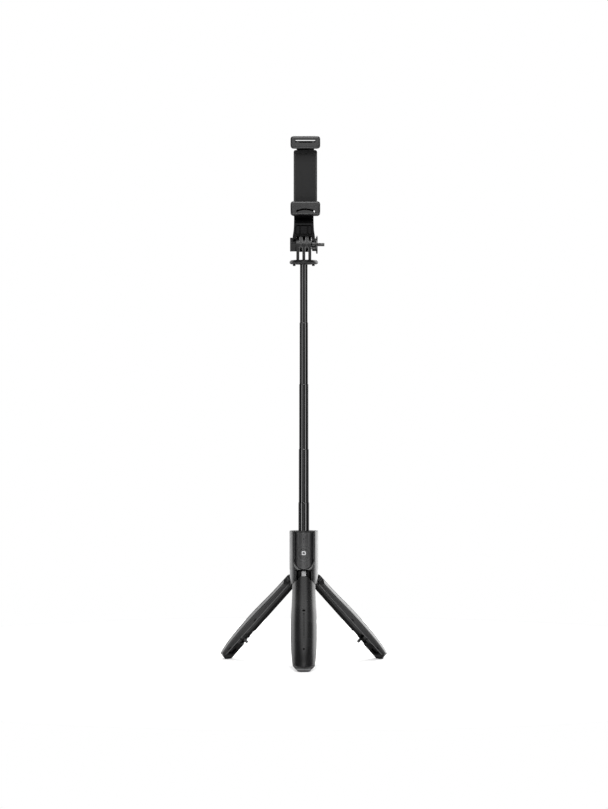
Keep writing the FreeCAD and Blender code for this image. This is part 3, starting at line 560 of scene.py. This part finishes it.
for hand in (-1, 1):
    pockets.append(flank_box(5.0, 8.9, 79.8, 88.4, 3.0, hand, 1.6))
    pockets.append(flank_box(5.0, 9.3, 90.8, 92.6, 1.6, hand, 0.4))
    pockets.append(flank_box(3.2, 8.9, 104.6, 114.0, 2.4, hand, 2.0))
peg_room = box(1.45, -7.5, -92.25, 3.55, 0, -89.75)
screw_holes = together(*[rod("y", 0, -u, 1.3, -8.5, 0, 24) for u in (25.5, 88.0)])
lining = carve(lining, box(-2.3, -11.5, -21.1, 2.3, -7.1, 2), peg_room, together(*pockets), screw_holes)
# the seam chamfer faces take the lighter seam material, a painted highlight
for face in lining.faces:
    middle = face.calc_center_median()
    far = math.hypot(middle.x, middle.y)
    if abs(far - (SEAM - 0.4)) < 0.2 and face.calc_area() > 3 and abs(face.normal.z) < 0.1:
        face.material_index = 1
    elif far < 6.3 and abs(face.normal.z) < 0.3:
        face.material_index = 2

# the tongue: a flat-topped eye round the hinge pin and a bar that runs down inside the leg
bar = slab("x", arc(-PIN_N, 0, 3.1, -30, 90, 12)
           + [(-12.3, 3.1), (-12.45, 2.9), (-12.45, -9.4), (-11.4, -10.4), (-11.4, -21),
              (-7.2, -21), (-7.2, -3.4)], -2.2, 2.2)
bar = carve(bar, rod("x", -PIN_N, 0, PIN_R, -5, 5, 24))

LEG_OUT, LEG_UP, OPENED = 2.753, 83.553, -45          # where an open leg's own origin lies
for name, side in LEG_SIDES.items():
    away = math.radians(side)
    place = (Matrix.Translation((LEG_OUT * math.sin(away), -LEG_OUT * math.cos(away), LEG_UP))
             @ Matrix.Rotation(away, 4, "Z") @ Matrix.Rotation(math.radians(OPENED), 4, "X"))
    body = "leg_" + name
    show(body + "_skin", twin(leg_shell, place), body, "leg_plastic", (body + "_shell",), 0.4, 3,
         second="leg_flank_shaded")
    inner = show(body + "_lining", twin(lining, place), body, "leg_plastic", (body + "_cover",), 0.25, 2,
                 look="lining_black", second="seam_highlight")
    inner.data.materials.append(MATS["black_steel"])
    show(body + "_sole", twin(foot, place), body, "rubber", (body + "_foot",), 0.3, 2,
         look="rubber_end", second="rubber")
    show(body + "_bar", twin(bar, place), body, "leg_plastic", (body + "_tongue",), 0.3, 3,
         look="tongue_grey")

# ------------------------------------------------------------------ clamp arm
PIVOT, TURN_Z, JAW_LOW = 426.4, 496.5, 456.0         # heights: tilt axis, turn axis, lower jaw
ARM = 10                                             # half width of the upright plate
FINGER_IN, FINGER_OUT = 1.58, 4.52                   # the sides of the two hinge fingers
# from the side: the hood over the hinge, the shelf under the jaw and the foot of the upright
hood = rounded([(-6.5, PIVOT + 7.65), (-6.5, PIVOT + 8.6), (-8.9, PIVOT + 8.6),
                (-8.9, JAW_LOW - 8.5), (2.0, JAW_LOW - 3.6), (7.65, JAW_LOW - 2.4),
                (7.65, 470), (12.2, 470), (12.2, JAW_LOW - 6), (6.5, JAW_LOW - 16),
                (6.5, PIVOT + 7.65)], (0, 0, 0.5, 0, 2.0, 0.8, 0, 0, 5, 5, 0.6))
apron = rounded([(-8.85, PIVOT + 4.6), (-8.1, PIVOT + 4.6), (-8.1, PIVOT + 10),
                 (-8.85, PIVOT + 10)], 0.3)
lower = carve(slab("x", hood, -14, 14),
              together(slab("x", apron, -13, -7.8), slab("x", apron, 7.8, 13)), how="UNION")
# from the front: a flared foot, straight sides and a round head
head = arc(0, TURN_Z, ARM, 0, 180, 32)[1:-1]
front = [(11.4, PIVOT + 5), (11.3, PIVOT + 8.0), (10.9, PIVOT + 10.5), (10.45, PIVOT + 13.5),
         (10.15, PIVOT + 17), (ARM, PIVOT + 22), (ARM, TURN_Z)]
front = front + head + [(-a, b) for a, b in front[::-1]]
lower = carve(lower, slab("y", front, -20, 20), how="INTERSECT")
upright = slab("y", [(ARM, 465), (ARM, TURN_Z)] + head + [(-ARM, TURN_Z), (-ARM, 465)], 7.65, 12.2)
finger = [(6.5, PIVOT + 8.4), (-6.5, PIVOT + 8.4)] + arc(0, PIVOT, 7.5, 180, 360, 40)
fingers = together(slab("x", finger, -FINGER_OUT, -FINGER_IN), slab("x", finger, FINGER_IN, FINGER_OUT))
arm = carve(lower, upright, fingers, how="UNION")
tilt_room = together(*[rod("x", 0, PIVOT, 8.3, lo, hi, 72)
                       for lo, hi in ((-20, -FINGER_OUT), (-FINGER_IN, FINGER_IN), (FINGER_OUT, 20))])
bores = together(rod("x", 0, PIVOT, 2.5, -20, 20, 32), rod("y", 0, TURN_Z, 3.0, -20, 20, 40))
# a shallow window in the hood's front with three raised pads in it
floor_z, roof_z = PIVOT + 9.6, JAW_LOW - 10.2
window = slab("y", rounded([(-8.7, floor_z), (8.7, floor_z), (8.7, roof_z), (-8.7, roof_z)],
                           (1, 1, 3, 3)), -10, -7.1)
pads = []
for x0, x1, r0, r1 in ((-7.8, -4.7, 2.4, 0.8), (-3.1, 3.1, 1.6, 1.6), (4.7, 7.8, 0.8, 2.4)):
    pad = rounded([(x0, floor_z + 0.8), (x1, floor_z + 0.8), (x1, roof_z - 1.0), (x0, roof_z - 1.0)],
                  (0.8, 0.8, r1, r0))
    pads.append(slab("y", pad, -8.5, -7.0))
arm = carve(arm, tilt_room, bores, window)
arm = carve(arm, together(*pads), how="UNION")
# the fingers keep a lighter plastic, and the rest of the arm wears the darker copy, painted shade
for face in arm.faces:
    middle = face.calc_center_median()
    if middle.z < PIVOT + 7.3 and abs(middle.x) < 4.5:
        face.material_index = 1
show("arm_shape", arm, "arm", "clamp_plastic", ("clamp_arm",), 0.35, 3, look="arm_shaded",
     second="finger_plastic")

# ------------------------------------------------------------------ clamp and jaws
JAW_L, JAW_R, FRONT, BACK = -13.6, 16.8, -13.0, 7.0  # the sides of both jaws
SLOT_L, SLOT_R = -8.15, 11.35                        # the sides of the slot in them
LIP = -10.5                                          # back of their front bars


def plate(z0, z1, corners, y0, y1, x0=JAW_L, x1=JAW_R):
    """A rounded plate that faces the front."""
    return slab("y", rounded([(x0, z0), (x1, z0), (x1, z1), (x0, z1)], corners, 8), y0, y1)


def jaw(part):
    """Round the front edge of a jaw."""
    return soften(part, lambda spot: abs(spot.y - FRONT) < 0.01, 2.0, 5)


def bow(t):
    """Height of the curved upper side of the slot, t from 0 to 1 across it."""
    return JAW_LOW + 5.0 + 2.0 * math.sin(math.pi * t) ** 0.8


clamp = carve(plate(JAW_LOW, 464.2, (3.8, 3.8, 0, 0), LIP - 0.1, BACK),
              plate(462.8, 523, (0, 0, 2.5, 2.5), 0.8, BACK, JAW_L + 3.2, JAW_R - 3.2), how="UNION")
clamp = carve(clamp, jaw(plate(JAW_LOW, 469.9, (3.8, 3.8, 3.8, 3.8), FRONT, LIP)), how="UNION")
slot_line = [(k / 16, SLOT_L + 0.3 + (SLOT_R - SLOT_L - 0.3) * k / 16) for k in range(17)]
through = slab("y", [(x, bow(t) - 2.9 + 0.5 * math.sin(math.pi * t)) for t, x in slot_line]
               + [(x, bow(t) - 0.6) for t, x in slot_line[::-1]], -20, -6)
peeps = together(box(SLOT_L + 0.4, -7, JAW_LOW + 2.3, SLOT_L + 1.1, 9, JAW_LOW + 5.6),
                 box(SLOT_R - 1.9, -7, JAW_LOW + 2.3, SLOT_R - 0.1, 9, JAW_LOW + 5.6))
track = box(SLOT_L + 0.55, 2.9, 470, SLOT_R - 0.55, 9, 530)
seat = box(SLOT_L - 1.25, BACK - 1.3, 466.5, SLOT_R + 1.25, 9, 530)
holes = together(*[rod("y", x, z, 0.72, 3.5, 9, 16)
                   for x in (SLOT_L - 0.45, SLOT_R + 0.45) for z in (468.3, 521)])
clamp = carve(clamp, through, peeps, track, seat, holes)
soften(clamp, lambda spot: abs(spot.y - FRONT) < 0.01 and SLOT_L < spot.x < SLOT_R + 0.1
       and JAW_LOW + 3 < spot.z < JAW_LOW + 8, 0.5, 3)
show("clamp_shape", clamp, "clamp", "clamp_plastic", ("clamp_body",), 0.3, 2)

JAW_TOP = 536.0
top_jaw = carve(plate(528.8, JAW_TOP, (0, 0, 3.8, 3.8), LIP - 0.1, BACK),
                jaw(plate(523.1, JAW_TOP, (3.8, 3.8, 3.8, 3.8), FRONT, LIP)),
                box(SLOT_L + 0.75, 3.1, 478, SLOT_R - 0.75, 5.5, 529.6), how="UNION")
ray = slab("x", [(-14, 530.9), (-14, 531.6), (8, 533.9), (8, 533.1)], SLOT_L - 0.2, SLOT_R + 0.2)
ends = together(*[box(x, -14, 529.3, x + 0.9, -9, 531.3) for x in (SLOT_L - 0.2, SLOT_R - 0.7)])
dip = slab("y", [(SLOT_L + 2.4, 530.5), (SLOT_L + 3.2, 528.9), (SLOT_R - 3.2, 528.9),
                 (SLOT_R - 2.4, 530.5)], -14, -11.0)
top_jaw = carve(top_jaw, ray, ends, dip)
show("upper_shape", top_jaw, "jaw", "clamp_plastic", ("upper_jaw",), 0.3, 2)

# ------------------------------------------------------------------ CAD nodes that stay
looks = {"mount_base": "mount_black", "thumb_knob": "knob_plastic", "hinge_pins": "black_steel",
         "turn_rivet": "rivet_steel", "hinge_screw": "screw_steel", "leg_front_screws": "black_steel",
         "leg_right_screws": "black_steel", "leg_left_screws": "black_steel"}
for node, obj in frame["nodes"].items():
    dress(obj, looks.get(node, slot_of[node]))
    weld = obj.modifiers.new("weld", "WELD")
    weld.merge_threshold = 0.002 * MM
    edge = obj.modifiers.new("edge", "BEVEL")
    edge.width = 0.2 * MM
    edge.segments = 2
    edge.limit_method = "ANGLE"
    edge.angle_limit = math.radians(35)
    edge.use_clamp_overlap = True
    flat = obj.modifiers.new("flat", "WEIGHTED_NORMAL")
    flat.weight = 100
    flat.keep_sharp = True

# ------------------------------------------------------------------ camera
EYE_HEIGHT, EYE_BACK, VIEW_HALF = 0.2633, 2.703, 0.41259   # metres
lens = bpy.data.cameras.new("camera")
lens.sensor_fit = "VERTICAL"
lens.angle = 2 * math.atan(VIEW_HALF / EYE_BACK)
lens.clip_end = 50
camera = bpy.data.objects.new("camera", lens)
camera.location = (0.0002, -EYE_BACK, EYE_HEIGHT)
camera.rotation_euler = (math.radians(90), 0, 0)
scene.collection.objects.link(camera)
scene.camera = camera

# ------------------------------------------------------------------ light
world = bpy.data.worlds.new("studio")
scene.world = world
world.use_nodes = True
nodes, links = world.node_tree.nodes, world.node_tree.links
nodes.clear()


def maths(operation, first, second=None):
    """A maths node fed with numbers or with other nodes."""
    step = nodes.new("ShaderNodeMath")
    step.operation = operation
    for socket, value in zip(step.inputs, (first, second)):
        if value is None:
            continue
        if isinstance(value, (int, float)):
            socket.default_value = value
        else:
            links.new(value, socket)
    return step.outputs[0]


def rise(value, start, stop):
    """0 below start, 1 above stop, smooth between."""
    step = nodes.new("ShaderNodeMapRange")
    step.interpolation_type = "SMOOTHSTEP"
    step.inputs["From Min"].default_value = start
    step.inputs["From Max"].default_value = stop
    if start > stop:
        step.inputs["From Min"].default_value = stop
        step.inputs["From Max"].default_value = start
        step.inputs["To Min"].default_value = 1.0
        step.inputs["To Max"].default_value = 0.0
    links.new(value, step.inputs["Value"])
    return step.outputs["Result"]


def between(value, low, high, soft):
    """1 between low and high, fading to 0 over the soft degrees outside them."""
    return maths("MULTIPLY", rise(value, low - soft, low), rise(value, high + soft, high))


def panel(bright, sides, heights, soft, turn_by=None):
    """A soft light panel between two bearings and two elevations, in degrees."""
    across = between(turn_by or bearing, *sides, soft)
    upward = between(lift, *heights, soft)
    return maths("MULTIPLY", maths("MULTIPLY", across, upward), bright)


where = nodes.new("ShaderNodeTexCoord")
split = nodes.new("ShaderNodeSeparateXYZ")
links.new(where.outputs["Generated"], split.inputs[0])
# bearing 0 is the front and +90 the right, elevation +90 is straight up
ahead = maths("MULTIPLY", split.outputs["Y"], -1.0)
bearing = maths("MULTIPLY", maths("ARCTAN2", split.outputs["X"], ahead), 180 / math.pi)
beside = maths("ABSOLUTE", bearing)
lift = maths("MULTIPLY", maths("ARCSINE", split.outputs["Z"]), 180 / math.pi)
panels = (
    panel(2.0, (-56, -42), (-6, 7), 2.5),              # stripe on the left of the pole
    panel(0.2, (-18, 4), (-6, 7), 6),                  # faint stripe down its middle
    panel(1.9, (35, 51), (-6, 7), 2.5),                # stripe on the right of the pole
    panel(13.0, (-11, 11), (20, 46), 11),              # high front, on sloping tops
    panel(8.0, (-11, 11), (-38, -22), 8),              # low front, under the edges
    panel(3.0, (-146, -108), (-20, 34), 10),           # left rim
    panel(5.2, (106, 150), (-20, 34), 10),             # right rim
    panel(1.8, (0, 180), (76, 90), 10, beside),        # ceiling
    panel(9.0, (158, 181), (36, 66), 10, beside),      # high back, on the upper edges
)
DIM = 0.09                                             # light from everywhere else
total = DIM
for lamp in panels:
    total = maths("ADD", lamp, total)
soft = nodes.new("ShaderNodeBackground")
links.new(total, soft.inputs["Strength"])
path = nodes.new("ShaderNodeLightPath")
white = nodes.new("ShaderNodeBackground")
white.inputs["Color"].default_value = (1, 1, 1, 1)
either = nodes.new("ShaderNodeMixShader")
links.new(path.outputs["Is Camera Ray"], either.inputs["Fac"])
links.new(soft.outputs[0], either.inputs[1])
links.new(white.outputs[0], either.inputs[2])
out = nodes.new("ShaderNodeOutputWorld")
links.new(either.outputs[0], out.inputs["Surface"])

bpy.ops.mesh.primitive_circle_add(vertices=96, radius=0.55, fill_type="NGON", location=(0, 0, -0.0002))
floor = bpy.context.object
floor.name = "floor"
floor_look = bpy.data.materials.new("floor_look")
floor_look.use_nodes = True
pale = floor_look.node_tree.nodes["Principled BSDF"]
pale.inputs["Base Color"].default_value = (0.95, 0.95, 0.95, 1)
pale.inputs["Roughness"].default_value = 0.9
floor.data.materials.append(floor_look)
